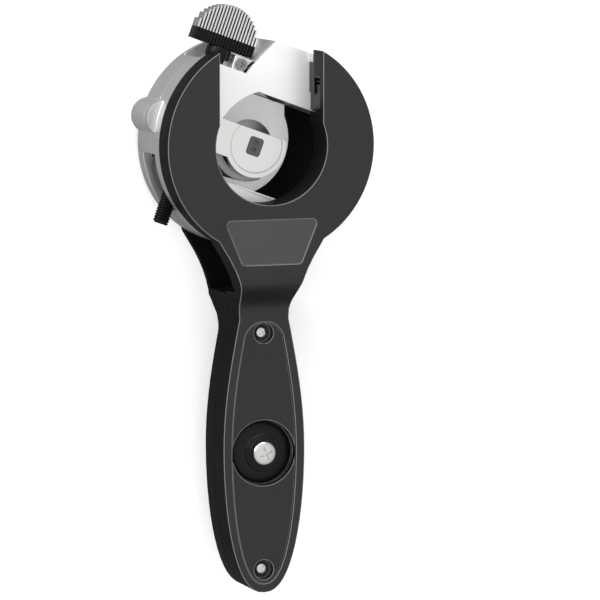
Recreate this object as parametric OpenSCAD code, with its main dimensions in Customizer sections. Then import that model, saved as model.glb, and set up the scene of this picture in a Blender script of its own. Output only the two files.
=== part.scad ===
// Ratcheting tube cutter: a C-shaped cutter that turns in the forked head of a handle.
// The tool lies on its back. The tube's axis is Z through the origin, the handle points along -Y,
// and the tube enters the head's slot from +Y.

/* [Head of the handle] */
// Outer radius of the head's front ring
ring_r = 38.5; // [37:0.5:47]
// Depth of the front ring, front to back
ring_depth = 10.5; // [10:0.5:13]
// Radius of the round bottom of the tube slot
slot_r = 20.7; // [18:0.1:21]
// Half width of the straight part of the tube slot
slot_half = 19.2; // [16:0.1:19.4]
// Wall around the head's hollow
ring_wall = 1.8; // [1.5:0.1:2.2]
// Front wall of the head
face_wall = 2; // [1.5:0.1:2.5]
// Outer radius of the rear guard ring
guard_r = 34.5; // [31:0.5:37]
// Thickness of the rear guard ring and of the neck's rear wall
guard_t = 3; // [2.4:0.1:3.6]

/* [Neck and grip] */
// Half width where the neck leaves the head
neck_half = 20.2; // [17:0.1:24]
// Half width at the waist
waist_half = 9.3; // [8:0.1:11]
// Half width at the widest part of the grip
grip_half = 15.3; // [14.5:0.1:18]
// From the ring's edge to the waist
neck_len = 23.5; // [22:0.5:30]
// From the waist to the end of the grip
grip_len = 98.5; // [84:0.5:120]
// Thickness of the grip, front to back
grip_t = 20.5; // [18:0.5:24]
// How far the grip's back stands above the rear guard ring's back
grip_lift = 12.2; // [10:0.2:14]
// Wall of the grip's two shells
grip_wall = 2.6; // [2:0.1:3]
// Rim between the grip's edge and its front panel
panel_rim = 3.4; // [3:0.1:4]
// Thickness of the front panel
panel_t = 2.6; // [2:0.1:3]

/* [Spare wheel store] */
// Radius of the recess that holds the spare wheel
store_r = 11.8; // [11.6:0.1:12]
// Radius of the spare wheel
spare_r = 11; // [9:0.1:11.2]

/* [Cutter] */
// Depth of the cutter's cast body without its front plate
body_depth = 21.3; // [20.5:0.1:24]
// Wall between the cutter's side and its pocket
body_wall = 2.3; // [2:0.1:3]
// Rear wall of the cutter's pocket
body_floor = 4.7; // [4:0.1:5]
// Thickness of the polished front plate
plate_t = 2; // [1.6:0.1:2.4]
// Half height of the throat below the axis
throat_low = 16.4; // [15:0.1:17]
// Half height of the throat above the axis
throat_high = 17.4; // [16.5:0.1:18]

/* [Feed] */
// Distance of the feed screw from the tube's axis
screw_off = 22.4; // [22:0.1:23]
// Radius of the feed screw's rod
rod_r = 3; // [2.5:0.1:3.2]
// Width of the thumb key
key_w = 23.5; // [19:0.1:24]
// Thickness of the thumb key
key_t = 6.6; // [5.5:0.1:7.5]
// How far the rod's free end reaches below the axis
rod_low = 38; // [36:0.5:40]

/* [Cutting] */
// Radius of the cutting wheel
wheel_r = 9; // [8:0.1:9.5]
// Radius of each guide roller
roller_r = 5.5; // [5:0.1:5.8]
// Radius of the axles of the wheel and the rollers
axle_r = 2; // [1.6:0.1:2.2]

/* [Ratchet] */
// Outer radius of the ratchet teeth
tooth_r = 30; // [29.5:0.1:30.5]
// Depth of a ratchet tooth
tooth_depth = 1.4; // [1.2:0.1:1.6]
// Thickness of the toothed flange
tooth_t = 4.6; // [4:0.1:5]

/* [Hidden] */
$fn = 64;

run_gap = 0.06;          // radial clearance of a running fit
side_gap = 0.2;          // clearance between faces that slide past each other
eps = 0.5;               // how far a cut runs past the face that it opens
parked_turn = 20;        // the stored cutter is turned this far clockwise

// heights
body_z0 = guard_t + side_gap;
body_z1 = body_z0 + body_depth;
plate_z1 = body_z1 + plate_t;
rim_z1 = plate_z1 + 3.7;
ring_z0 = rim_z1 + 0.5;
ring_z1 = ring_z0 + ring_depth;
face_z = ring_z1 - face_wall;
split_z = body_z0 + 15;          // the cast halves part on the feed screw's axis
pocket_z0 = body_z0 + body_floor;
grip_z0 = grip_lift;
grip_z1 = grip_z0 + grip_t;
grip_split = grip_z0 + grip_t * 0.44;

// head
body_r = ring_r - 1;
inner_wall = slot_r + 1.7;
hollow_r = ring_r - 2.5;
cover_t = 1.3;
tooth_z0 = ring_z0 + cover_t + side_gap;
tooth_z1 = tooth_z0 + tooth_t;
gear_bore = inner_wall + 0.5;
foot_r = gear_bore + 3.4;
teeth = 60;
key_sweep = body_r + 16;

// neck and grip along Y
neck_y = -(ring_r - 5.8);
waist_y = -(ring_r + neck_len);
wide_y = waist_y - grip_len * 0.475;
end_y = waist_y - grip_len;
bend_y = -(key_sweep - 6.5);
bend_len = 12.5;
panel_top = waist_y - 1;
panel_end = end_y + 3;
arch_r = waist_half - 1.75;      // the panel's top end is a round arch
screw_y = [waist_y - 5.1, end_y + 8.2];
store_y = wide_y - 1.3;
panel_z1 = grip_z1 - 0.5;
panel_z0 = panel_z1 - panel_t;
store_floor = panel_z0 - 1.2;
head_seat = panel_z0 - 1;

// cutter, in its own turned axes
flat_y = body_r - 0.8;
notch_y = 22;
ledge_z = body_z1 - 1.6;
key_y0 = 28;
screw_z = split_z;
notch_z0 = screw_z - norm([key_w, key_t]) / 2 - 0.4;    // clear of the key's corners as it turns
bush_r = rod_r + 1;
bush_y = [14.2, notch_y];
clip_y = bush_y[0] - 1.4;
roller_at = [6.5, throat_high + roller_r - 0.4];
wheel_y = -1;
cheek_z1 = body_z1 - 0.3;
cheek_z0 = cheek_z1 - 3.2;
back_z0 = pocket_z0 + 0.3;
back_z1 = back_z0 + 3.4;
cheek_r = 11.5;
cheek_top = 4.4;
lobe_angles = [184, 318, 48];
plate_screw_at = [-14.5, 24.6];
body_screw_at = [[-31, 8], [-31, -10], [17, -27], [23, 24]];

// ratchet pawls
pawl_tips = [150, 270, 30];
pawl_lag = 13;                   // angle from a pawl's tip back to its pivot
pivot_r = tooth_r + 3.5;
pawl_pin_r = 1;
pawl_boss = 2.1;
pawl_z0 = tooth_z0 + 0.1;
pawl_z1 = tooth_z1 - 0.2;
ratchet_screw_angles = [155, 190, 225, 260, 292, 31];
cover_angles = [132, 178, 212, 247, 293, 330, 2];

// ---------- shared shapes ----------
module slot2d(grow = 0) {
    circle(r = slot_r + grow, $fn = 96);
    translate([-slot_half - grow, 0]) square([2 * (slot_half + grow), 2 * ring_r]);
}
module disc_between(r0, r1) {
    difference() { circle(r = r1, $fn = 120); circle(r = r0, $fn = 120); }
}
module slab(z0, z1) { translate([0, 0, z0]) linear_extrude(z1 - z0) children(); }
module rod(r, z0, z1) { translate([0, 0, z0]) cylinder(r = r, h = z1 - z0); }
module ring_of(r0, r1, z0, z1) {
    difference() { rod(r1, z0, z1); rod(r0, z0 - eps, z1 + eps); }
}
module turned() { rotate([0, 0, -parked_turn]) children(); }
module at_angle(a, r) { rotate([0, 0, a]) translate([r, 0, 0]) children(); }
module along_feed(y) { translate([-screw_off, y, screw_z]) rotate([-90, 0, 0]) children(); }

// the neck narrows on a parabola, the grip swells on a sine and ends in a round butt
function neck_at(y) = waist_half + (neck_half - waist_half) * pow((y - waist_y) / (neck_y - waist_y), 2);
function swell_at(t) = waist_half + (grip_half - waist_half) * sin(90 * t);
function outline_side(inset) = concat(
    [for (t = [0 : 1/10 : 0.99])
        let (y = neck_y + 8 + (waist_y - neck_y - 8) * t)
        [neck_at(min(y, neck_y)) - inset, y]],
    [for (t = [0 : 1/10 : 0.99]) [swell_at(t) - inset, waist_y + (wide_y - waist_y) * t]],
    [for (a = [0 : 6 : 84])
        [(grip_half - inset) * pow(cos(a), 0.84), wide_y + (end_y + inset - wide_y) * sin(a)]]);
module outline2d(inset = 0) {
    side = outline_side(inset);
    n = len(side);
    polygon(concat(side, [[0, end_y + inset]], [for (i = [n - 1 : -1 : 0]) [-side[i][0], side[i][1]]]));
}
// a soft step from one height to another, as points of a side profile
function soft_step(y0, z0, y1, z1) =
    [for (t = [0 : 1/16 : 1]) [y0 + (y1 - y0) * t, z0 + (z1 - z0) * (1 - cos(180 * t)) / 2]];
module side_profile(points) {
    translate([-ring_r, 0, 0]) rotate([90, 0, 90]) linear_extrude(2 * ring_r) polygon(points);
}
module grip_boss2d(r) {
    for (y = screw_y) translate([0, y]) circle(r = r);
    translate([0, store_y]) circle(r = r + 1);
}
module grip_cavity2d() {
    difference() {
        intersection() {
            outline2d(grip_wall);
            translate([-ring_r, end_y]) square([2 * ring_r, waist_y - end_y]);
        }
        grip_boss2d(3.8);
    }
}
module panel2d(grow = 0) {
    intersection() {
        outline2d(panel_rim - grow);
        union() {
            translate([0, panel_top - arch_r]) circle(r = arch_r + grow);
            translate([-ring_r, panel_end - grow])
                square([2 * ring_r, panel_top - arch_r - panel_end + grow]);
        }
    }
}

// ---------- handle ----------
module handle_front_shell() color("#3c3c3e") difference() {
    union() {
        slab(ring_z0, ring_z1) circle(r = ring_r, $fn = 120);
        slab(plate_z1 + 0.4, ring_z0 + eps) circle(r = inner_wall, $fn = 120);
        intersection() {
            slab(grip_split, ring_z1) outline2d();
            side_profile(concat([[neck_y + 8, ring_z0], [neck_y + 8, ring_z1]],
                soft_step(bend_y, ring_z1, bend_y - bend_len, grip_z1),
                [[end_y - 1, grip_z1], [end_y - 1, grip_split],
                [-key_sweep + 6, grip_split], [-key_sweep + 6, ring_z0]]));
        }
    }
    slab(-eps, ring_z1 + eps) slot2d();
    rod(key_sweep, 0, ring_z0 - 3.3);
    difference() { rod(key_sweep, 0, ring_z0); rod(inner_wall, 0, ring_z1); }
    slab(ring_z0 - eps, face_z) difference() {
        disc_between(inner_wall, hollow_r);
        slot2d(ring_wall);
    }
    slab(ring_z0 - eps, tooth_z1 + 0.5) disc_between(inner_wall, tooth_r + 0.5);
    slab(ring_z0 - eps, ring_z0 + cover_t) disc_between(inner_wall, hollow_r + 1);
    for (a = pawl_tips) at_angle(a - pawl_lag, pivot_r) rod(pawl_pin_r, ring_z0, face_z + 1);
    slab(grip_split - eps, grip_split + 5) grip_cavity2d();
    slab(panel_z0, grip_z1 + eps) panel2d(0.1);
    translate([0, store_y, 0]) {
        rod(store_r, store_floor, grip_z1);
        rod(2.1, grip_split - eps, grip_z1);
    }
    for (y = screw_y) translate([0, y, 0]) {
        rod(3.6, head_seat, grip_z1);
        rod(1.3, grip_split - eps, grip_z1);
    }
    slab(ring_z1 - 0.8, ring_z1 + eps) plate_shape2d(0.05);
}
module handle_back_shell() color("#2a2a2c") difference() {
    union() {
        slab(0, guard_t) circle(r = guard_r, $fn = 120);
        intersection() {
            slab(0, grip_split) outline2d();
            side_profile(concat([[neck_y + 8, 0], [neck_y + 8, guard_t], [-key_sweep, guard_t],
                [-key_sweep, grip_split], [end_y - 1, grip_split], [end_y - 1, grip_z0]],
                soft_step(-key_sweep - 15, grip_z0, -key_sweep - 1, 0)));
        }
    }
    slab(-eps, guard_t + eps) slot2d();
    rod(key_sweep, guard_t, grip_z1);
    slab(grip_z0 + grip_wall, grip_split + eps) grip_cavity2d();
    for (y = screw_y) translate([0, y, 0]) rod(1.2, grip_z0 + 3, grip_split + eps);
    translate([0, store_y, 0]) {
        rod(2.1, grip_z0 + 1.5, grip_split + eps);
        slab(grip_split - 3.4, grip_split + eps) circle(r = 4, $fn = 6);
    }
}
module grip_panel() color("#2c2c2e") difference() {
    slab(panel_z0, panel_z1) panel2d();
    translate([0, store_y, 0]) rod(store_r, panel_z0 - eps, panel_z1 + eps);
    for (y = screw_y) translate([0, y, 0]) rod(3.6, panel_z0 - eps, panel_z1 + eps);
}
module plate_shape2d(grow = 0) {
    offset(r = grow + 1.5, $fn = 24)
        polygon([[-15.1, -27.5], [15.1, -27.5], [9.9, -40.1], [-9.9, -40.1]]);
}
module blank_name_plate() color("#565658") slab(ring_z1 - 0.8, ring_z1 - 0.2) plate_shape2d();
module pan_screw(head_r, head_h, shank_r, z_head, z_end) {
    rod(shank_r, z_end, z_head + 0.1);
    difference() {
        rod(head_r, z_head, z_head + head_h);
        for (a = [0, 90]) rotate([0, 0, a])
            translate([-head_r * 0.55, -head_r * 0.13, z_head + head_h * 0.45])
                cube([head_r * 1.1, head_r * 0.26, head_h]);
    }
}
module panel_screws() color("#c8c8c8")
    for (y = screw_y) translate([0, y, 0]) pan_screw(2.3, 1.6, 1.2, head_seat, grip_z0 + 3.5);
module spare_wheel() color("#1c1c1e") translate([0, store_y, store_floor]) rotate_extrude($fn = 96)
    polygon([[2.15, 0], [5.3, 0], [5.3, 0.6], [spare_r, 1.1], [spare_r, 1.4],
        [6.5, 2.6], [6.5, 3.2], [5.3, 3.6], [2.15, 3.6]]);
module spare_wheel_screw() color("#c8c8c8") translate([0, store_y, 0])
    pan_screw(4.3, 2.4, 2, store_floor + 3.6, grip_z0 + 2);
module spare_wheel_nut() color("#b0a070") translate([0, store_y, 0]) difference() {
    slab(grip_split - 3.4, grip_split - 0.2) circle(r = 4, $fn = 6);
    rod(2, 0, grip_z1);
}
module ring_cover_plate() color("#3a3a3a") difference() {
    union() {
        slab(ring_z0, ring_z0 + cover_t) difference() {
            disc_between(foot_r + run_gap, hollow_r + 1);
            slot2d();
        }
        slab(plate_z1 + 0.4, ring_z0 + cover_t) intersection() {
            difference() { slot2d(1.4); slot2d(); }
            disc_between(foot_r + run_gap, body_r - 2.9);
        }
    }
    for (a = pawl_tips) at_angle(a - pawl_lag, pivot_r) rod(pawl_pin_r, 0, ring_z1);
    for (a = cover_angles) at_angle(a, hollow_r - 1) rod(0.8, 0, ring_z1);
}
module cover_screws() color("#202020")
    for (a = cover_angles) at_angle(a, hollow_r - 1) {
        rod(0.8, ring_z0, ring_z0 + cover_t);
        rod(1.5, ring_z0 - 0.4, ring_z0);
    }

// ---------- ratchet ----------
// A pawl, drawn with its tip against a tooth's steep face on the X axis.
module pawl2d() {
    px = pivot_r * cos(pawl_lag);
    py = -pivot_r * sin(pawl_lag);
    root = tooth_r - tooth_depth;
    difference() {
        union() {
            translate([px, py]) circle(r = pawl_boss, $fn = 32);
            polygon([[root + 0.3, -0.5], [tooth_r + 1.1, -0.5], [px + 1.2, py + 1.7],
                [px - 1.4, py + 1.5], [tooth_r + 0.1, -3.3]]);
        }
        translate([px, py]) circle(r = pawl_pin_r + run_gap, $fn = 32);
    }
}
module pawl(tip) color("#8a8a8e") slab(pawl_z0, pawl_z1) rotate(tip) pawl2d();
module pawl_pins() color("#b8b8b8")
    for (a = pawl_tips) at_angle(a - pawl_lag, pivot_r) rod(pawl_pin_r, ring_z0, face_z + 0.9);
module pawl_springs() color("#9a9a9a")
    for (a = pawl_tips) at_angle(a - pawl_lag, pivot_r)
        ring_of(pawl_pin_r + 0.1, 1.9, pawl_z1 + 0.1, face_z);
module throat_strip2d(grow = 0) {
    rotate(-parked_turn) translate([0, -throat_low - grow])
        square([2 * ring_r, throat_low + throat_high + 2 * grow]);
}
// Saw teeth: each has a radial face and a long back.
module toothed2d() {
    step = 360 / teeth;
    root = tooth_r - tooth_depth;
    polygon([for (i = [0 : teeth - 1]) for (r = [root, tooth_r])
        [r * cos(i * step), r * sin(i * step)]]);
}
module ratchet_cuts2d() {
    circle(r = gear_bore, $fn = 120);
    slot2d(0.6);
    throat_strip2d(0.6);
}
module ratchet_ring() color("#1a1a1a") difference() {
    union() {
        slab(plate_z1, tooth_z0 + eps) difference() {
            circle(r = foot_r, $fn = 120);
            ratchet_cuts2d();
        }
        slab(tooth_z0, tooth_z1) difference() {
            toothed2d();
            ratchet_cuts2d();
        }
    }
    ratchet_screw_places() { rod(0.9, 0, ring_z1); rod(1.6, tooth_z1 - 1.2, ring_z1); }
}
module ratchet_screw_places() for (a = ratchet_screw_angles) at_angle(a, gear_bore + 1.8) children();
module ratchet_screws() color("#303030") ratchet_screw_places() {
    rod(0.9, body_z1 + 0.2, tooth_z1 - 1.1);
    rod(1.6, tooth_z1 - 1.2, tooth_z1 - 0.2);
}

// ---------- cutter body, in the cutter's own axes ----------
module body2d() intersection() {
    circle(r = body_r, $fn = 120);
    translate([-2 * ring_r, -2 * ring_r]) square([4 * ring_r, 2 * ring_r + flat_y]);
}
module throat2d() intersection() {
    translate([-ring_r, -throat_low]) square([3 * ring_r, throat_low + throat_high]);
    union() {
        translate([5.7, -1.2]) circle(r = 22, $fn = 96);
        translate([5.7, -ring_r]) square([2 * ring_r, 2 * ring_r]);
    }
}
module pocket2d() {
    throat2d();
    intersection() {
        circle(r = body_r - body_wall, $fn = 120);
        translate([-screw_off - 6.8, -ring_r])
            square([screw_off + 6.8 + 13.5, ring_r + bush_y[0] - 0.4]);
    }
}
module notch2d() polygon([[-2 * ring_r, notch_y], [-12.4, notch_y], [-9.3, 29.4], [-5.5, flat_y],
    [-5.5, 2 * ring_r], [-2 * ring_r, 2 * ring_r]]);
// A ledge just under the front plate, clear of the key and of its collar, takes the small plate screw.
module ledge2d() translate([-17.3, notch_y - 2]) square([9, key_y0 - 0.7 - notch_y + 2]);
module window2d() polygon([[-18, -28], [-28, -13], [-50, -23], [-28, -50]]);
module rim2d(grow = 0) difference() {
    circle(r = body_r + grow, $fn = 120);
    circle(r = body_r - 2.6 - grow, $fn = 120);
    rotate(parked_turn) slot2d(0.6 - grow);
    translate([0, -throat_low]) square([2 * ring_r, throat_low + throat_high]);
    translate([-ring_r, flat_y]) square(2 * ring_r);
}
module lobes2d() for (a = lobe_angles) at_angle(a, body_r - 2.6) circle(r = 6.4);
module roller_seats(grow, z0, z1) for (s = [-1, 1])
    translate([s * roller_at[0], roller_at[1], 0]) rod(roller_r + grow, z0, z1);
module body_cuts() {
    slab(-eps, ring_z1) throat2d();
    slab(pocket_z0, ring_z1) pocket2d();
    slab(notch_z0, body_z1 + eps) difference() {
        notch2d();
        ledge2d();
    }
    slab(ledge_z, body_z1 + eps) notch2d();
    slab(pocket_z0 + 1, body_z1 - 2) window2d();
    roller_seats(0.4, pocket_z0, body_z1 + eps);
    slab(pocket_z0, body_z1 + eps) translate([-roller_at[0], throat_high - 1])
        square([2 * roller_at[0], roller_at[1] - throat_high]);
    for (s = [-1, 1]) translate([s * roller_at[0], roller_at[1], 0]) rod(axle_r, body_z0 + 1.5, ring_z1);
    along_feed(-ring_r * 2) cylinder(r = rod_r + run_gap, h = ring_r * 2 + bush_y[0]);
    along_feed(bush_y[0] - 0.4) cylinder(r = bush_r, h = 20);
    for (p = body_screw_at) translate([p[0], p[1], 0]) {
        rod(1.2, body_z0 - eps, body_z1 + 1.2);
        rod(2.2, body_z0 - eps, body_z0 + 1.8);
    }
    translate([plate_screw_at[0], plate_screw_at[1], 0]) rod(0.9, split_z - 1.3, body_z1);
}
module body_rear_half() turned() color("#b4b4b4") difference() {
    slab(body_z0, split_z) {
        body2d();
        lobes2d();
    }
    body_cuts();
}
module body_front_half() turned() color("#c4c4c4") difference() {
    union() {
        slab(split_z, body_z1) body2d();
        slab(split_z, rim_z1) rim2d();
        slab(split_z, body_z1 - 2) lobes2d();
    }
    body_cuts();
}
module front_plate() turned() color("#f2f2f0") difference() {
    slab(body_z1, plate_z1) difference() {
        body2d();
        rim2d(0.05);
        throat2d();
        notch2d();
    }
    for (s = [-1, 1]) translate([s * roller_at[0], roller_at[1], 0]) rod(axle_r, 0, body_z1 + 1);
    rotate([0, 0, parked_turn]) ratchet_screw_places() rod(0.9, body_z1 + 0.2, ring_z1);
    for (p = body_screw_at) translate([p[0], p[1], 0]) rod(1.2, 0, body_z1 + 1.2);
}
module body_screws() turned() color("#909090") for (p = body_screw_at) translate([p[0], p[1], 0]) {
    rod(1.2, body_z0 + 1.7, body_z1 + 1);
    rod(2.2, body_z0 + 0.2, body_z0 + 1.8);
}
module plate_screw() turned() color("#c8c8c8") translate([plate_screw_at[0], plate_screw_at[1], 0])
    pan_screw(2.1, 1.4, 0.9, ledge_z, split_z - 0.3);
module screw_bush() turned() color("#2a2a2a") along_feed(bush_y[0]) difference() {
    cylinder(r = bush_r, h = bush_y[1] - bush_y[0]);
    translate([0, 0, -eps]) cylinder(r = rod_r + run_gap, h = 20);
}
module window_pin() turned() color("#d0d0d0") at_angle(207, body_r - 4.5)
    translate([0, 0, pocket_z0 + 2.6]) rotate([0, 90, 0]) cylinder(r = 0.8, h = 2);
module roller_pins() turned() color("#c0c0c0") for (s = [-1, 1])
    translate([s * roller_at[0], roller_at[1], 0]) rod(axle_r, body_z0 + 1.6, body_z1 + 1);
module roller(side) turned() color("#c8c8c8") translate([side * roller_at[0], roller_at[1], 0])
    ring_of(axle_r + run_gap, roller_r, pocket_z0 + 0.3, body_z1 - 0.3);

// ---------- feed screw ----------
module feed_screw() turned() color("#141414") {
    along_feed(-rod_low) difference() {
        cylinder(r = rod_r, h = rod_low + key_y0 - 3.9);
        translate([0, 0, rod_low + clip_y]) difference() {
            cylinder(r = rod_r + 1, h = 0.9);
            cylinder(r = rod_r - 0.6, h = 0.9);
        }
    }
    along_feed(key_y0 - 4) cylinder(r = rod_r + 1.3, h = 4);
    along_feed(key_y0 - 0.1) cylinder(r = rod_r - 0.5, h = 5.1);
}
module thumb_key() turned() color("#d8d8d8") translate([-screw_off, 0, screw_z]) difference() {
    union() {
        translate([-key_w / 2, key_y0, -key_t / 2]) cube([key_w, 4.3, key_t]);
        translate([0, 0, -key_t / 2]) linear_extrude(key_t) intersection() {
            translate([0, key_y0 + 3.7]) circle(r = key_w / 2, $fn = 96);
            translate([-key_w, key_y0 + 4.2]) square([2 * key_w, key_w]);
        }
    }
    translate([0, key_y0 - eps, 0]) rotate([-90, 0, 0]) cylinder(r = rod_r - 0.5, h = 5 + eps);
    translate([0, key_y0 + 2.1, 0]) rod(0.7, -key_t / 2 - eps, key_t / 2 + eps);
}
module key_pin() turned() color("#808080") translate([-screw_off, key_y0 + 2.1, screw_z]) difference() {
    rod(0.7, -key_t / 2, key_t / 2);
    translate([0, -5, 0]) rotate([-90, 0, 0]) cylinder(r = rod_r - 0.5, h = 10);
}
module screw_clip() turned() color("#707070") along_feed(clip_y + 0.05) difference() {
    cylinder(r = rod_r + 1.6, h = 0.8);
    translate([0, 0, -eps]) cylinder(r = rod_r - 0.6, h = 3);
}

// ---------- slide ----------
module cheek2d(r) intersection() {
    translate([0.5, -0.8]) circle(r = r, $fn = 96);
    translate([-r - 2, -r - 4]) square([2 * r + 4, r + 4 + cheek_top]);
}
module slide_block() turned() color("#b4b4b4") difference() {
    union() {
        slab(back_z0, back_z1) cheek2d(cheek_r);
        slab(back_z0, cheek_z0) intersection() {
            translate([-1.5, -1]) disc_between(10.4, 13.4);
            translate([-20, -20]) square([27, 20 + cheek_top]);
        }
        slab(back_z0, cheek_z0) translate([-19, -6]) square([8.2, 6 + cheek_top]);
        slab(screw_z - 5.4, screw_z + 4.1) translate([-screw_off - 5, -3]) square([10, 9]);
    }
    along_feed(-10) cylinder(r = rod_r + run_gap, h = 30);
    translate([0, wheel_y, 0]) rod(axle_r, back_z0 + 1, ring_z1);
}
module front_cheek() turned() color("#f4f4f2") difference() {
    slab(cheek_z0, cheek_z1) union() {
        cheek2d(cheek_r);
        translate([-18.4, -8]) square([12, 8 + cheek_top]);
    }
    translate([-screw_off, 0, 0]) translate([-6, -10, 0]) cube([11.6, 20, screw_z + 5.4]);
    translate([0, wheel_y, 0]) rod(axle_r, 0, ring_z1);
    slab(cheek_z1 - 1.2, cheek_z1 + eps) keeper2d(0.05);
    translate([0.5, -0.8, 0]) intersection() {
        ring_of(cheek_r - 1.95, cheek_r - 1.65, cheek_z1 - 0.25, cheek_z1 + eps);
        translate([-cheek_r, -cheek_r, 0]) cube([2 * cheek_r, cheek_r + cheek_top + 1.5, ring_z1]);
    }
}
module keeper2d(grow = 0) {
    offset(r = 1 + grow, $fn = 24) translate([-1.6, wheel_y - 2.45]) square([3.2, 4.5]);
}
module wheel_axle() turned() color("#a8a8a8") translate([0, wheel_y, 0])
    rod(axle_r, back_z0 + 1, cheek_z1 - 1.2);
module axle_keeper() turned() color("#8c8c8c") difference() {
    slab(cheek_z1 - 1.2, cheek_z1 + 0.1) keeper2d();
    for (y = [-1.4, 1.3]) translate([0, wheel_y + y, cheek_z1 - 0.4]) cylinder(r = 0.7, h = 2);
}
module cutting_wheel() turned() color("#a0a0a0") translate([0, wheel_y, 0]) rotate_extrude($fn = 96)
    polygon([[axle_r + run_gap, back_z1 + 0.2], [3.6, back_z1 + 0.2], [3.6, 14.8], [wheel_r, 16.2],
        [wheel_r, 16.3], [3.6, 17.7], [3.6, cheek_z0 - 0.2], [axle_r + run_gap, cheek_z0 - 0.2]]);

handle_front_shell();
handle_back_shell();
grip_panel();
blank_name_plate();
panel_screws();
spare_wheel();
spare_wheel_screw();
spare_wheel_nut();
ring_cover_plate();
cover_screws();
pawl(pawl_tips[0]);  // pawl_left
pawl(pawl_tips[1]);  // pawl_bottom
pawl(pawl_tips[2]);  // pawl_right
pawl_pins();
pawl_springs();
body_rear_half();
body_front_half();
front_plate();
ratchet_ring();
ratchet_screws();
body_screws();
plate_screw();
screw_bush();
window_pin();
roller_pins();
roller(-1);  // roller_left
roller(1);  // roller_right
feed_screw();
thumb_key();
key_pin();
screw_clip();
slide_block();
front_cheek();
wheel_axle();
axle_keeper();
cutting_wheel();
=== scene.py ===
# %% [markdown]
# # A ratcheting tube cutter
# The tool lies on its back on a pale studio floor. Its fixed frame, with every size and every joint,
# is loaded first. The cells after it set up the studio, then make the pieces whose real surfaces need
# more than plain solids, and last the finishes.

# %% The frame
import math

import bpy
from mathutils import Matrix, Vector


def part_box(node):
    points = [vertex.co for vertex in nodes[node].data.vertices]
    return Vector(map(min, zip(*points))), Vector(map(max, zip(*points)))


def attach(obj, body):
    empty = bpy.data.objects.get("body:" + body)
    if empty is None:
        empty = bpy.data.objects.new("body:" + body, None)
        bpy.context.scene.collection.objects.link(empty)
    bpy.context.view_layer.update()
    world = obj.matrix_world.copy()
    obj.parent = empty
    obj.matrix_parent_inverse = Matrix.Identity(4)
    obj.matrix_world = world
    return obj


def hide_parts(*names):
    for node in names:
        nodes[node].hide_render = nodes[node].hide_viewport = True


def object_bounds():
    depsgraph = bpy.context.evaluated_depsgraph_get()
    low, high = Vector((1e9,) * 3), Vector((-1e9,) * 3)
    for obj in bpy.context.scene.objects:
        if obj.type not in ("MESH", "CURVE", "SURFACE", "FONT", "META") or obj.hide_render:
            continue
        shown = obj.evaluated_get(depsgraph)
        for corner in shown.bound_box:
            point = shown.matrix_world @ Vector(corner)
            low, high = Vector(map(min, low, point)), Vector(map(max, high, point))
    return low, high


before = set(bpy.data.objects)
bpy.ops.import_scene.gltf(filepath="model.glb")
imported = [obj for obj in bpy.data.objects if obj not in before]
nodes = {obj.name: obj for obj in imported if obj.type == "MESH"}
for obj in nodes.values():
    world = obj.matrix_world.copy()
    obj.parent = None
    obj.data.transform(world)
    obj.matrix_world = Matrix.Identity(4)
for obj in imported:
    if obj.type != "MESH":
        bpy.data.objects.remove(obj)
cad_box = [list(corner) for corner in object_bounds()]
MM = 0.001
print("loaded", len(nodes), "nodes, box in mm", [[round(v / MM, 1) for v in c] for c in cad_box])

# %% [markdown]
# The cutter is parked turned clockwise in the head, and everything in it lies square to its feed screw.
# Its pieces could be modelled at that angle, but straight bars are far easier to place. So they are
# modelled in the cutter's own axes, and one matrix turns each finished piece into its place.

# %% The cutter's own axes
PARKED_TURN = math.radians(20)
CUTTER = Matrix.Rotation(-PARKED_TURN, 4, "Z")
SCREW_X = -22.4
SCREW_Z = 18.2
screw_axis = Vector((SCREW_X, 0, SCREW_Z)) * MM
print("cutter is parked", round(math.degrees(PARKED_TURN)), "degrees clockwise")

# %% [markdown]
# A long lens from the front, a little to the tool's left and a little above, keeps the ring round and
# shows the silver side of the cutter. The camera's place is worked out from its direction and distance.

# %% Camera
YAW = math.radians(20.0)
RISE = math.radians(6.5)
LENS = 250.0
SENSOR_WIDTH = 36.0
VIEW_WIDTH = 0.2128
AIM = Vector((11.6, -55.0, 38.0)) * MM
to_camera = Vector((-math.sin(YAW) * math.cos(RISE), math.sin(RISE), math.cos(YAW) * math.cos(RISE)))
right = Vector((math.cos(YAW), 0, math.sin(YAW)))
up = to_camera.cross(right)
camera_data = bpy.data.cameras.new("camera")
camera_data.lens = LENS
camera_data.sensor_width = SENSOR_WIDTH
camera = bpy.data.objects.new("camera", camera_data)
bpy.context.scene.collection.objects.link(camera)
distance = VIEW_WIDTH * LENS / SENSOR_WIDTH
turn = Matrix((right, up, to_camera)).transposed().to_4x4()
camera.matrix_world = Matrix.Translation(AIM + to_camera * distance) @ turn
bpy.context.scene.camera = camera
print("camera is", round(distance, 2), "m from the tool")

# %% [markdown]
# Black and polished metal show whatever is around them, so the studio gives them their shape. The room
# is white straight above the tool as it lies, and dim towards the sides. A square panel at the left
# lights the cast side, and a wide one beyond the head lights the edges that face away from the grip.
#
# The floor has three looks. The camera sees white paper with a little glow, so that the background is
# even. Reflections see grey, because a white floor would wash out the black coat. From underneath it is
# clear, so that the tool's back can be seen through it.

# %% Studio
SIDE_LIGHT = 0.4
PAPER_GLOW = 0.3
FLOOR_SIZE = 6.0


def to_linear(hex_colour):
    """An sRGB hex colour as the linear colour that the shaders work in."""
    parts = [int(hex_colour[i:i + 2], 16) / 255 for i in (1, 3, 5)]
    return tuple(c / 12.92 if c <= 0.04045 else ((c + 0.055) / 1.055) ** 2.4 for c in parts) + (1.0,)


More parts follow.
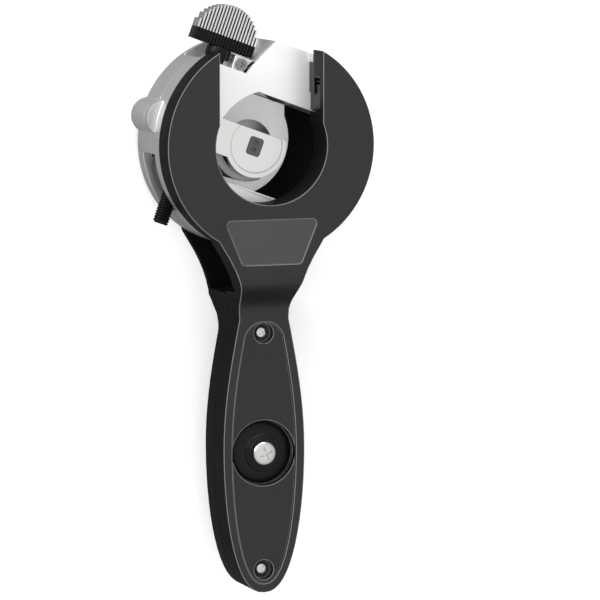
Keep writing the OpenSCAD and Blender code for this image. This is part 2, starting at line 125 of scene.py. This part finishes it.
def panel_light(name, place, aim, width, height, watts):
    data = bpy.data.lights.new(name, "AREA")
    data.shape = "RECTANGLE"
    data.size = width
    data.size_y = height
    data.energy = watts
    light = bpy.data.objects.new(name, data)
    bpy.context.scene.collection.objects.link(light)
    direction = Vector(aim) - Vector(place)
    light.matrix_world = Matrix.Translation(place) @ direction.to_track_quat("-Z", "Y").to_matrix().to_4x4()
    return light


def link_nodes(tree, source, output, target, entry):
    tree.links.new(source.outputs[output], target.inputs[entry])


def studio_world():
    """White above the tool as it lies, falling to a dim grey at the sides."""
    world = bpy.data.worlds.new("studio")
    world.use_nodes = True
    tree = world.node_tree
    place = tree.nodes.new("ShaderNodeTexCoord")
    split = tree.nodes.new("ShaderNodeSeparateXYZ")
    ramp = tree.nodes.new("ShaderNodeValToRGB")
    link_nodes(tree, place, "Generated", split, "Vector")
    link_nodes(tree, split, "Z", ramp, "Fac")
    link_nodes(tree, ramp, "Color", tree.nodes["Background"], "Color")
    ramp.color_ramp.elements[0].position = 0.05
    ramp.color_ramp.elements[0].color = (SIDE_LIGHT, SIDE_LIGHT, SIDE_LIGHT, 1.0)
    ramp.color_ramp.elements[1].position = 0.8
    ramp.color_ramp.elements[1].color = (1.0, 1.0, 1.0, 1.0)
    return world


def studio_floor():
    """Pale paper: near white to the camera, grey in reflections, and clear from underneath."""
    made = bpy.data.materials.new("studio_floor")
    made.use_nodes = True
    tree = made.node_tree
    paper = tree.nodes["Principled BSDF"]
    paper.inputs["Base Color"].default_value = to_linear("#ffffff")
    paper.inputs["Roughness"].default_value = 0.9
    paper.inputs["Specular IOR Level"].default_value = 0.0
    paper.inputs["Emission Color"].default_value = to_linear("#ffffff")
    paper.inputs["Emission Strength"].default_value = PAPER_GLOW
    dim = tree.nodes.new("ShaderNodeBsdfDiffuse")
    dim.inputs["Color"].default_value = to_linear("#8a8a8a")
    clear = tree.nodes.new("ShaderNodeBsdfTransparent")
    ray = tree.nodes.new("ShaderNodeLightPath")
    side = tree.nodes.new("ShaderNodeNewGeometry")
    blend = tree.nodes.new("ShaderNodeMixShader")
    under = tree.nodes.new("ShaderNodeMixShader")
    link_nodes(tree, ray, "Is Camera Ray", blend, "Fac")
    tree.links.new(dim.outputs["BSDF"], blend.inputs[1])
    tree.links.new(paper.outputs["BSDF"], blend.inputs[2])
    link_nodes(tree, side, "Backfacing", under, "Fac")
    tree.links.new(blend.outputs["Shader"], under.inputs[1])
    tree.links.new(clear.outputs["BSDF"], under.inputs[2])
    link_nodes(tree, under, "Shader", tree.nodes["Material Output"], "Surface")
    return made


bpy.context.scene.world = studio_world()
bpy.context.scene.view_settings.view_transform = "Standard"
tool_head = (0.0, 0.0, 0.02)
panel_light("left_light", (-0.9, 0.5, 0.25), tool_head, width=0.5, height=0.5, watts=9.0)
panel_light("top_light", (-0.1, 0.9, 0.35), tool_head, width=0.7, height=0.25, watts=5.0)

bpy.ops.object.select_all(action="DESELECT")
bpy.ops.mesh.primitive_plane_add(size=FLOOR_SIZE, location=(0, 0, cad_box[0][2]))
floor = bpy.context.object
floor.name = "floor"
floor.data.materials.append(studio_floor())

# %% [markdown]
# Pieces are modelled with the same operators as by hand. An operator acts on whatever is selected, so
# everything is deselected first and the piece at work is made the only selected one.

# %% Selecting, editing and finishing a piece
WELD_GAP = 0.002 * MM


def start_fresh():
    if bpy.context.object and bpy.context.object.mode != "OBJECT":
        bpy.ops.object.mode_set(mode="OBJECT")
    bpy.ops.object.select_all(action="DESELECT")


def make_active(piece):
    start_fresh()
    piece.select_set(True)
    bpy.context.view_layer.objects.active = piece


def in_edit(piece, *operators):
    """Runs mesh operators on the whole of a piece, in edit mode."""
    make_active(piece)
    bpy.ops.object.mode_set(mode="EDIT")
    bpy.ops.mesh.select_all(action="SELECT")
    for operator in operators:
        operator()
    bpy.ops.object.mode_set(mode="OBJECT")


def weld():
    bpy.ops.mesh.remove_doubles(threshold=WELD_GAP)


def face_outwards():
    bpy.ops.mesh.normals_make_consistent(inside=False)


def add_modifier(piece, kind, **settings):
    make_active(piece)
    modifier = piece.modifiers.new(kind.lower(), kind)
    for name, value in settings.items():
        setattr(modifier, name, value)
    bpy.ops.object.modifier_apply(modifier=modifier.name)


def smooth(piece, degrees=32):
    make_active(piece)
    bpy.ops.object.shade_smooth_by_angle(angle=math.radians(degrees))


def settle(piece, place=Matrix.Identity(4)):
    """Leaves the object at the origin with its place in its mesh."""
    piece.data.transform(place @ piece.matrix_world)
    piece.matrix_world = Matrix.Identity(4)
    return piece


def keep(piece, name, body, slot_name, *replaced):
    piece.name = name
    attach(piece, body)
    if replaced:
        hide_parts(*replaced)
    return piece


def joined(pieces):
    make_active(pieces[0])
    for piece in pieces:
        piece.select_set(True)
    if len(pieces) > 1:
        bpy.ops.object.join()
    return bpy.context.object


print("points closer than", WELD_GAP / MM, "mm are welded")

# %% [markdown]
# Real parts have no razor edges: a mould leaves a small radius and a machined edge is broken. Where a
# part's form is already right, its own mesh is copied, its loose triangles are welded back into whole
# faces, and a Bevel modifier rounds every sharp edge. Modelling each edge by hand would take longer and
# look the same. The thin light lines round the black head are a painted highlight on these small radii.
#
# The larger castings, the moulded panel and the pressed plates are eased in this way. On the black
# pieces at the front the bevel has a finish of its own: a painted highlight, grey where the edge faces
# the front, which shows as a thin pale line.

# %% Eased pieces
SHARP_DEGREES = 30


def eased(node, body, slot_name, radius, edge_slot=-1):
    """A copy of a CAD node with every sharp edge rounded to a radius in millimetres."""
    piece = bpy.data.objects.new(node + "_eased", nodes[node].data.copy())
    while len(piece.data.materials) < 2:
        piece.data.materials.append(None)
    bpy.context.scene.collection.objects.link(piece)
    in_edit(piece, weld)
    add_modifier(piece, "BEVEL", width=radius * MM, segments=2, limit_method="ANGLE",
                 angle_limit=math.radians(SHARP_DEGREES), material=edge_slot, use_clamp_overlap=False)
    smooth(piece)
    add_modifier(piece, "WEIGHTED_NORMAL", keep_sharp=True)
    return keep(piece, node + "_eased", body, slot_name, node)


front_shell = eased("handle_front_shell", "handle", "black_shell", 0.3, edge_slot=1)
back_shell = eased("handle_back_shell", "handle", "black_shell", 0.5)
panel = eased("grip_panel", "handle", "panel", 0.25, edge_slot=1)
name_plate = eased("blank_name_plate", "handle", "name_plate", 0.15, edge_slot=1)
body_rear = eased("body_rear_half", "cutter", "cast_body", 0.3)
body_front = eased("body_front_half", "cutter", "cast_body", 0.3)
front_plate = eased("front_plate", "cutter", "polished_steel", 0.12)
slide_block = eased("slide_block", "slide", "slide_steel", 0.2)
front_cheek = eased("front_cheek", "slide", "polished_steel", 0.12)
keeper = eased("axle_keeper", "slide", "hardened_steel", 0.15)

# %% [markdown]
# The thumb key is a flat half-moon with straight ribs that run along the screw, so that fingers can
# turn it. The ribs could be drawn in the material, but they break up the key's outline, so they are
# real bars. Each one has bevelled edges and ends just inside the half-moon's arc, and all of them come
# from one loop across the key. A slightly thinner band of short ribs runs along its foot.

# %% Thumb key
KEY_WIDTH = 23.5
KEY_THICK = 6.6
KEY_FOOT = 28.0
KEY_BAND = 4.3
KEY_EASE = 0.2
BAND_EASE = 0.18
BAND_TOP = KEY_FOOT + KEY_BAND
CORE_THICK = KEY_THICK - 1.1
CORE_INSET = 0.75
RIB_COUNT = 20
RIB_SHARE = 0.62
BAND_RIB_SHARE = 0.66
RIB_BELOW_ARC = 0.55
RIB_IN_BAND = 0.2
rib_pitch = KEY_WIDTH / RIB_COUNT
arc_radius = KEY_WIDTH / 2
rib_places = [(i + 0.5) * rib_pitch - arc_radius for i in range(RIB_COUNT)]


def bar(size, centre, ease):
    """A bar with eased edges, its size and centre in millimetres."""
    start_fresh()
    bpy.ops.mesh.primitive_cube_add(size=1.0)
    piece = bpy.context.object
    piece.scale = [s * MM for s in size]
    piece.location = [c * MM for c in centre]
    bpy.ops.object.transform_apply(location=True, rotation=False, scale=True)
    add_modifier(piece, "BEVEL", width=ease * MM, segments=2)
    return piece


def key_ribs():
    """Long ribs, each from just inside the band up to the half-moon's arc."""
    ribs = []
    for x in rib_places:
        top = BAND_TOP + math.sqrt(max(arc_radius ** 2 - x ** 2, 0.5)) - RIB_BELOW_ARC
        low = BAND_TOP - RIB_IN_BAND
        size = (rib_pitch * RIB_SHARE, top - low, KEY_THICK)
        ribs.append(bar(size, (SCREW_X + x, (top + low) / 2, SCREW_Z), KEY_EASE))
    return joined(ribs)


def key_band():
    """The lower band, a little thinner, with its own short ribs."""
    middle = KEY_FOOT + KEY_BAND / 2
    size = (rib_pitch * BAND_RIB_SHARE, KEY_BAND, KEY_THICK - 0.1)
    ribs = [bar(size, (SCREW_X + x, middle, SCREW_Z), BAND_EASE) for x in rib_places]
    core = bar((KEY_WIDTH - 0.7, KEY_BAND - 0.5, CORE_THICK), (SCREW_X, middle + 0.1, SCREW_Z), KEY_EASE)
    return joined(ribs + [core])


def key_core():
    """The solid half-moon behind the ribs: a disc, cut off along the band."""
    start_fresh()
    centre = (screw_axis.x, (BAND_TOP - 0.5) * MM, screw_axis.z)
    bpy.ops.mesh.primitive_cylinder_add(vertices=96, radius=(arc_radius - CORE_INSET) * MM,
                                        depth=CORE_THICK * MM, location=centre)
    piece = bpy.context.object
    bpy.ops.object.transform_apply(location=True)
    in_edit(piece, lambda: bpy.ops.mesh.bisect(plane_co=(0, (BAND_TOP - 0.4) * MM, 0), plane_no=(0, 1, 0),
                                               use_fill=True, clear_inner=True))
    add_modifier(piece, "BEVEL", width=0.3 * MM, segments=2, limit_method="ANGLE",
                 angle_limit=math.radians(40))
    return piece


key = key_ribs()
smooth(settle(key, CUTTER))
keep(key, "thumb_key_ribs", "feed", "key_metal", "thumb_key", "key_pin")
# The band and the core behind the ribs are finished dark below as painted shade.
band = joined([key_band(), key_core()])
smooth(settle(band, CUTTER))
keep(band, "thumb_key_band", "feed", "black_oxide_steel")
print("key has", RIB_COUNT, "ribs at", round(rib_pitch, 2), "mm")

# %% [markdown]
# The feed screw's thread is seen in the window of the cast body. A bump would leave its outline smooth,
# so the thread is real. One tooth is drawn as a short open line, and a Screw modifier carries it round
# the rod and along it, one pitch for each turn. The shank, the collar under the key and the end's
# chamfer are one outline, spun as on a lathe, and the collar's flutes are small bars set round it.

# %% Feed screw
ROD_RADIUS = 3.0
THREAD_PITCH = 1.0
THREAD_DEPTH = 0.55
ROD_END = -38.0
THREAD_TOP = 12.4
CLIP_LOW = 12.8
CLIP_HIGH = CLIP_LOW + 0.9
COLLAR_LOW = 24.0
COLLAR_HIGH = 28.0
COLLAR_RADIUS = 4.3
FLUTE_COUNT = 14
FLUTE_SIZE = (0.5, 0.9, 3.0)
FLUTE_RADIUS = 4.05


def outline_of(points, name):
    """An open line through (radius, height) points, in millimetres, beside the Z axis."""
    mesh = bpy.data.meshes.new(name)
    places = [(radius * MM, 0, height * MM) for radius, height in points]
    mesh.from_pydata(places, [(i, i + 1) for i in range(len(points) - 1)], [])
    piece = bpy.data.objects.new(name, mesh)
    bpy.context.scene.collection.objects.link(piece)
    return piece


def turned(points, name, steps):
    """Spins an outline once round the Z axis, as on a lathe."""
    piece = outline_of(points, name)
    full_turn = {"angle": 2 * math.pi, "center": (0, 0, 0), "axis": (0, 0, 1)}
    in_edit(piece, lambda: bpy.ops.mesh.spin(steps=steps, **full_turn), weld, face_outwards)
    return piece


def thread():
    """One tooth, with a narrow flat crest, carried along the rod by a Screw modifier."""
    turns = int((THREAD_TOP - ROD_END) / THREAD_PITCH) - 1
    half = THREAD_PITCH / 2
    root = ROD_RADIUS - THREAD_DEPTH
    crest = ROD_RADIUS - 0.06
    tooth = [(root, 0), (crest, half * 0.85), (crest, half * 1.15), (root, THREAD_PITCH)]
    piece = outline_of([(radius, ROD_END + along) for radius, along in tooth], "thread")
    add_modifier(piece, "SCREW", steps=28, render_steps=28, screw_offset=THREAD_PITCH * MM,
                 iterations=turns, use_merge_vertices=True, merge_threshold=1e-6)
    in_edit(piece, weld, face_outwards)
    return piece


def feed_rod():
    """The rod with its chamfered end, the clip's groove, the plain shank and the fluted collar."""
    under_thread = ROD_RADIUS - 0.5
    groove = ROD_RADIUS - 0.6
    shank = ROD_RADIUS - 0.05
    outline = [(0, ROD_END), (2.1, ROD_END), (under_thread, ROD_END + 0.5), (under_thread, THREAD_TOP)]
    outline += [(groove, CLIP_LOW), (groove, CLIP_HIGH), (shank, CLIP_LOW + 0.95), (shank, COLLAR_LOW)]
    outline += [(4.1, COLLAR_LOW), (COLLAR_RADIUS, COLLAR_LOW + 0.25), (COLLAR_RADIUS, COLLAR_HIGH - 0.4),
                (4.0, COLLAR_HIGH - 0.05), (0, COLLAR_HIGH - 0.05)]
    core = turned(outline, "rod", 48)
    to_collar = Matrix.Translation((0, FLUTE_RADIUS * MM, (COLLAR_LOW + COLLAR_HIGH) / 2 * MM))
    flutes = []
    for i in range(FLUTE_COUNT):
        angle = 2 * math.pi * i / FLUTE_COUNT
        flute = bar(FLUTE_SIZE, (0, 0, 0), 0.15)
        flute.data.transform(Matrix.Rotation(angle, 4, "Z") @ to_collar)
        flutes.append(flute)
    return joined([core, thread()] + flutes)


to_feed = Matrix.Translation(screw_axis) @ Matrix.Rotation(-math.pi / 2, 4, "X")
rod = feed_rod()
settle(rod, CUTTER @ to_feed)
smooth(rod, 40)
keep(rod, "threaded_feed_screw", "feed", "black_oxide_steel", "feed_screw")
print("thread runs from", ROD_END, "to", THREAD_TOP, "mm along the screw")

# %% [markdown]
# Cross-head screws hold the panel and the spare wheel. Each head is a low dome, so it is turned from a
# curved outline. Its cross is sunk into it: two crossed bars are taken away with a Boolean, which is
# simpler than pushing faces of the dome in one by one, and leaves crisp edges.

# %% Cross-head screws
PANEL_HEAD_RADIUS = 2.3
PANEL_HEAD_HEIGHT = 1.6
SPARE_HEAD_RADIUS = 4.3
SPARE_HEAD_HEIGHT = 2.4
DOME_STEPS = (0, 15, 30, 45, 60, 75)


def screw_head(radius, height, top, x, y, tilt, name):
    """A domed head with a cross; radius, height and top are in millimetres, x and y in metres."""
    foot = top - height
    angles = [math.radians(step) for step in DOME_STEPS]
    dome = [(radius * math.cos(a), foot + height * (0.42 + 0.58 * math.sin(a))) for a in angles]
    rim = [(0, foot), (radius * 0.94, foot), (radius, foot + 0.12 * radius)]
    screw = turned(rim + dome + [(0, foot + height)], name, 64)
    screw.data.transform(Matrix.Translation((x, y, 0)))
    for quarter in (0, math.pi / 2):
        slot_bar = bar((radius * 1.15, radius * 0.24, height), (0, 0, 0), 0.08)
        slot_bar.data.transform(Matrix.Translation((x, y, (foot + height * 1.02) * MM))
                                @ Matrix.Rotation(tilt + quarter, 4, "Z"))
        add_modifier(screw, "BOOLEAN", object=slot_bar, operation="DIFFERENCE", solver="EXACT")
        bpy.data.objects.remove(slot_bar)
    return screw


panel_screw_low, panel_screw_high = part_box("panel_screws")
spare_screw_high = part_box("spare_wheel_screw")[1]
spare_low, spare_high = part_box("spare_wheel")
spare_x = (spare_low[0] + spare_high[0]) / 2
spare_y = (spare_low[1] + spare_high[1]) / 2
upper_y = panel_screw_high[1] - PANEL_HEAD_RADIUS * MM
lower_y = panel_screw_low[1] + PANEL_HEAD_RADIUS * MM
panel_head_size = (PANEL_HEAD_RADIUS, PANEL_HEAD_HEIGHT, panel_screw_high[2] / MM)
heads = joined([screw_head(*panel_head_size, 0, y, tilt, "panel_screw")
                for y, tilt in ((upper_y, 0.5), (lower_y, -0.3))])
smooth(heads)
keep(heads, "panel_screw_heads", "handle", "bright_steel", "panel_screws")
spare_head = screw_head(SPARE_HEAD_RADIUS, SPARE_HEAD_HEIGHT, spare_screw_high[2] / MM, spare_x, spare_y,
                        0.35, "spare_screw")
smooth(spare_head)
keep(spare_head, "spare_screw_head", "handle", "bright_steel", "spare_wheel_screw")
print("panel screws are", round((upper_y - lower_y) / MM, 1), "mm apart")

# %% [markdown]
# The spare cutting wheel lies flat in the grip under its screw. The real one is a turned piece, so it
# is spun from half of its profile: a bored hub, a disc that thins to a sharp rim, and a raised collar.

# %% Spare wheel
WHEEL_BORE = 2.15
WHEEL_HUB = 5.3
WHEEL_RIM = 11.0
WHEEL_SHOULDER = 10.6
WHEEL_COLLAR = 6.5


def spare_profile():
    """(radius, height) points round half of the wheel, from its bore and back to it."""
    hub = [(WHEEL_BORE, 0), (WHEEL_HUB, 0), (WHEEL_HUB, 0.6)]
    disc = [(WHEEL_SHOULDER, 1.0), (WHEEL_RIM, 1.25), (WHEEL_SHOULDER, 1.5), (WHEEL_COLLAR + 0.2, 2.5)]
    collar = [(WHEEL_COLLAR, 2.7), (WHEEL_COLLAR, 3.1), (6.3, 3.25), (5.5, 3.3)]
    return hub + disc + collar + [(WHEEL_HUB, 3.55), (WHEEL_BORE, 3.6), (WHEEL_BORE, 0)]


floor_z = spare_low[2] / MM
spare = turned([(radius, floor_z + height) for radius, height in spare_profile()], "spare", 96)
spare.data.transform(Matrix.Translation((spare_x, spare_y, 0)))
smooth(spare, 25)
keep(spare, "spare_cutting_wheel", "handle", "black_oxide_steel", "spare_wheel")
print("spare wheel sits at", round(spare_y / MM, 1), "mm along the handle")

# %% [markdown]
# Finishes come last. No real surface is perfectly even, and an even one looks like plastic. So one
# function makes every finish with a fine grain in its bump and a slow, faint change in its roughness.
# A picture could carry the grain, but noise needs no file and has no seams.

# %% How a finish is made
BUMP_DEPTH = 0.1 * MM
CLOUDS = {"Scale": 60.0, "Detail": 2.0}


def add_node(made, kind, settings=None, **links):
    """Adds a node, sets its named inputs or properties, and links sockets to its inputs."""
    node = made.node_tree.nodes.new(kind)
    for name, value in (settings or {}).items():
        if name in node.inputs:
            node.inputs[name].default_value = value
        else:
            setattr(node, name, value)
    for name, socket in links.items():
        made.node_tree.links.new(socket, node.inputs[name.replace("_", " ")])
    return node


def material(name, colour, metallic, roughness, grain_mm, grain_strength, spread,
             stretch=(1, 1, 1), turn_z=0.0, painted_side_sheen=None, painted_front_sheen=0.5):
    """A finish with fine grain in its bump and a slow, faint change in roughness.

    stretch squeezes the grain along the tool's axes, and turn_z turns the pattern after that. The two sheen
    arguments paint a sheen by which way a face looks, whatever the light: they set how strongly the faces
    that look sideways and to the front shine, and without the side one all faces shine alike."""
    made = bpy.data.materials.new(name)
    made.use_nodes = True
    tree = made.node_tree
    shader = tree.nodes["Principled BSDF"]
    shader.inputs["Base Color"].default_value = to_linear(colour)
    shader.inputs["Metallic"].default_value = metallic
    shader.inputs["Roughness"].default_value = roughness
    place = add_node(made, "ShaderNodeTexCoord")
    mapping = add_node(made, "ShaderNodeMapping", {"Scale": stretch, "Rotation": (0, 0, turn_z)},
                       Vector=place.outputs["Object"])
    grain = add_node(made, "ShaderNodeTexNoise", {"Scale": 1.0 / (grain_mm * MM), "Detail": 3.0},
                     Vector=mapping.outputs["Vector"])
    bump = add_node(made, "ShaderNodeBump", {"Strength": grain_strength, "Distance": BUMP_DEPTH},
                    Height=grain.outputs["Fac"])
    tree.links.new(bump.outputs["Normal"], shader.inputs["Normal"])
    clouds = add_node(made, "ShaderNodeTexNoise", CLOUDS, Vector=place.outputs["Object"])
    wear = add_node(made, "ShaderNodeMapRange", {"From Min": 0.3, "From Max": 0.7,
                                                 "To Min": roughness - spread, "To Max": roughness + spread},
                    Value=clouds.outputs["Fac"])
    tree.links.new(wear.outputs["Result"], shader.inputs["Roughness"])
    if painted_side_sheen is not None:
        surface = add_node(made, "ShaderNodeNewGeometry")
        facing = add_node(made, "ShaderNodeSeparateXYZ", Vector=surface.outputs["Normal"])
        sheen = add_node(made, "ShaderNodeMapRange", {"From Min": 0.35, "From Max": 0.9, "To Min": painted_side_sheen,
                                                      "To Max": painted_front_sheen}, Value=facing.outputs["Z"])
        tree.links.new(sheen.outputs["Result"], shader.inputs["Specular IOR Level"])
    return made


def finish_with(made, *pieces):
    for piece in pieces:
        piece.data.materials.clear()
        piece.data.materials.append(made)


def finish_edges_with(made, edge, *pieces):
    """One finish for the faces and another for the eased edges between them."""
    for piece in pieces:
        piece.data.materials[0] = made
        piece.data.materials[1] = edge


print("grain is up to", BUMP_DEPTH / MM, "mm deep")

# %% [markdown]
# The head and the grip are castings under a satin black powder coat, with a moulded panel and a grey
# name plate set into them. One plain black would lose their form, so a painted sheen makes the front shell's
# coat shine more on the faces that look to the front. The back shell has a darker, duller copy of the coat as
# painted shade, and its painted sheen is a little stronger at its sides.
#
# Along the eased edges at the front a painted highlight stands for the light that catches them. The line is
# so thin that a plain grey stands for it, which keeps the same tone all round, and edges that look sideways
# stay dark.

# %% Black pieces
COAT_BLACK = "#101011"
EDGE_HIGHLIGHT_GREY = "#747476"


def edge_highlight_material():
    """A painted highlight: grey on edges that face the front; the other edges keep their dark coat."""
    made = material("painted_edge_highlight", EDGE_HIGHLIGHT_GREY, 0.0, 0.38, 0.3, 0.1, 0.08)
    surface = add_node(made, "ShaderNodeNewGeometry")
    facing = add_node(made, "ShaderNodeSeparateXYZ", Vector=surface.outputs["Normal"])
    tones = add_node(made, "ShaderNodeValToRGB", {}, Fac=facing.outputs["Z"])
    tones.color_ramp.elements[0].position = 0.1
    tones.color_ramp.elements[0].color = to_linear(COAT_BLACK)
    tones.color_ramp.elements[1].position = 0.35
    tones.color_ramp.elements[1].color = to_linear(EDGE_HIGHLIGHT_GREY)
    shader = made.node_tree.nodes["Principled BSDF"]
    made.node_tree.links.new(tones.outputs["Color"], shader.inputs["Base Color"])
    return made


# Satin powder coat over a casting: a fine orange-peel grain and broad soft reflections.
# A painted sheen: the front shell's coat shines more on faces that look to the front than at its sides.
black_coat = material("satin_black_coat", COAT_BLACK, 0.0, 0.45, 0.5, 0.12, 0.04, painted_side_sheen=0.06)
# A darker, duller copy of the black coat as painted shade for the back shell, so that it falls behind the
# head.
shaded_back_coat = material("shaded_matt_black_coat", "#09090a", 0.0, 0.5, 0.5, 0.12, 0.04,
                     painted_side_sheen=0.15, painted_front_sheen=0.06)
painted_edge_highlight = edge_highlight_material()
# The grey on the eased edges at the front is a painted highlight.
finish_edges_with(black_coat, painted_edge_highlight, front_shell)
finish_with(shaded_back_coat, back_shell)
# Moulded plastic: darker than the coat, and a little smoother.
panel_black = material("moulded_black_panel", "#070708", 0.0, 0.4, 0.4, 0.08, 0.03)
finish_edges_with(panel_black, painted_edge_highlight, panel)
plate_grey = material("name_plate_grey", "#3a3a3c", 0.0, 0.42, 0.4, 0.1, 0.04)
finish_edges_with(plate_grey, painted_edge_highlight, name_plate)
# The edges counted here carry the painted highlight.
print("rubbed edges on", front_shell.name, panel.name, name_plate.name)

# %% [markdown]
# The cutter is a die-cast body with a polished plate on its front. As a true mirror the plate would show
# the dim sides of the room and turn dark. So it is only half metal, and its nearly white colour is a painted
# reflection of a bright room, under soft real reflections. The casting is darker and has a coarser, deeper
# grain, and the cheek that slides is full metal and the smoothest of them. Polishing and brushing leave fine
# lines, so their grain is squeezed along one axis.

# %% Bright metal
# Die-cast zinc alloy, left satin: a soft metal with a fine sandy grain.
cast = material("die_cast_satin", "#dadada", 0.85, 0.36, 0.35, 0.18, 0.05)
finish_with(cast, body_rear, body_front)
# Polished and plated plate: nearly white as a painted reflection, with soft real reflections.
polished = material("polished_plate", "#f8f8f6", 0.45, 0.36, 0.12, 0.03, 0.03, (1, 10, 1), PARKED_TURN)
finish_with(polished, front_plate)
polished_cheek = material("polished_cheek", "#dededc", 1.0, 0.26, 0.12, 0.04, 0.03, (10, 1, 1), PARKED_TURN)
finish_with(polished_cheek, front_cheek)
# Brushed steel: a darker metal, with a deeper grain that runs one way.
brushed = material("brushed_steel", "#8a8a8a", 1.0, 0.3, 0.15, 0.2, 0.05, (1, 12, 1), PARKED_TURN)
BRUSHED_NODES = ("cutting_wheel", "roller_left", "roller_right", "roller_pins", "wheel_axle", "pawl_left",
                 "pawl_bottom", "pawl_right", "pawl_pins", "pawl_springs", "body_screws", "plate_screw",
                 "window_pin", "screw_clip")
finish_with(brushed, slide_block, *[nodes[name] for name in BRUSHED_NODES])
print("brushed finish on", len(BRUSHED_NODES) + 1, "pieces")

# %% [markdown]
# Small pieces are not made as the castings are, and each has the finish of its kind: brass for the nut,
# hardened steel for the keeper, zinc plate on the cross-head screws, and black oxide on the feed screw,
# the ratchet ring and the spare wheel. The thumb key's ribs are bright, and the band along its foot and the
# core between its ribs are dark with black oxide as painted shade. Small differences of tone between
# neighbours make the assembly believable.

# %% Small pieces
brass = material("brass", "#b08d57", 1.0, 0.3, 0.3, 0.08, 0.06)
finish_with(brass, nodes["spare_wheel_nut"])
# Hardened keeper: a darker, duller steel.
dark_steel = material("hardened_keeper", "#606062", 0.9, 0.42, 0.2, 0.1, 0.06)
finish_with(dark_steel, keeper)
# Zinc-plated screws: bright, with a faint grain.
zinc = material("zinc_plate", "#d2d2d0", 1.0, 0.26, 0.3, 0.06, 0.04)
finish_with(zinc, heads, spare_head)
# Black oxide on steel: nearly black, with a dull sheen.
oxide = material("black_oxide", "#0d0d0d", 0.6, 0.4, 0.4, 0.1, 0.05)
OXIDE_NODES = ("ratchet_ring", "ratchet_screws", "ring_cover_plate", "cover_screws", "screw_bush")
# On the key's band and core the black oxide is painted shade.
finish_with(oxide, rod, band, spare, *[nodes[name] for name in OXIDE_NODES])
# The key's ribs: bright cast metal.
bright_cast = material("cast_key", "#dcdcdc", 1.0, 0.3, 0.3, 0.1, 0.05)
finish_with(bright_cast, key)
print("black oxide on", len(OXIDE_NODES) + 3, "pieces")
